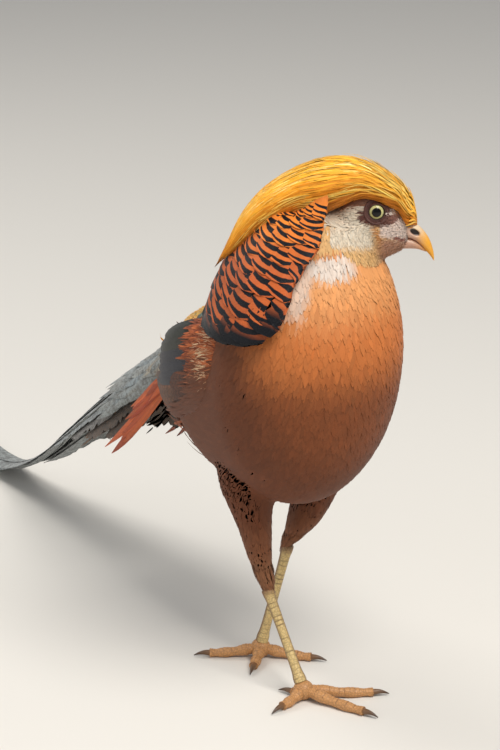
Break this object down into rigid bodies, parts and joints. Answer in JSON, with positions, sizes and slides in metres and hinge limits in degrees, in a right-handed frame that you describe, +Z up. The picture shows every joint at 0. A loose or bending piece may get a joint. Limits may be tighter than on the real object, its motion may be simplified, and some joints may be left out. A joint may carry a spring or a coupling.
{
  "type": "golden pheasant",
  "caption": "Life-size still model of a golden pheasant cock walking with its head turned to its left, long vaulted tail laid on the floor.",
  "frame": {"origin": "the floor under the middle of the whole bird's box, so the feet and the laid end of the tail rest at z = 0", "axes": "+X ahead along the body, from the tail's tip to the breast; +Y to the bird's left; +Z up"},
  "size_m": [0.7738, 0.1384, 0.3682],
  "materials": {
    "breast_feathers": "silky body feathers",
    "face_feathers": "short soft face feathers",
    "bill_horn": "satin horn",
    "eye": "wet, glossy",
    "crest_feathers": "long silky crest feathers",
    "cape_feathers": "square-ended feathers with dark bars",
    "wing_feathers": "firm flight feathers",
    "covert_feathers": "narrow pointed feathers",
    "tail_feathers": "mottled flight feathers",
    "thigh_feathers": "short soft feathers",
    "leg_skin": "scaled bare skin",
    "claw": "satin horn"
  },
  "bodies": {
    "root": {"torso": "breast_feathers", "neck": "breast_feathers", "head": "face_feathers", "bill_upper": "bill_horn", "bill_lower": "bill_horn", "eye_left": "eye", "eye_right": "eye", "crest": "crest_feathers", "cape": "cape_feathers", "wing_left": "wing_feathers", "wing_right": "wing_feathers", "tail_coverts": "covert_feathers", "tail": "tail_feathers", "tail_end": "tail_feathers", "thigh_left": "thigh_feathers", "thigh_right": "thigh_feathers", "shank_left": "leg_skin", "shank_right": "leg_skin", "foot_left": "leg_skin", "foot_right": "leg_skin", "claw_left_inner": "claw", "claw_left_middle": "claw", "claw_left_outer": "claw", "claw_left_hind": "claw", "claw_right_inner": "claw", "claw_right_middle": "claw", "claw_right_outer": "claw", "claw_right_hind": "claw"}
  },
  "joints": []
}
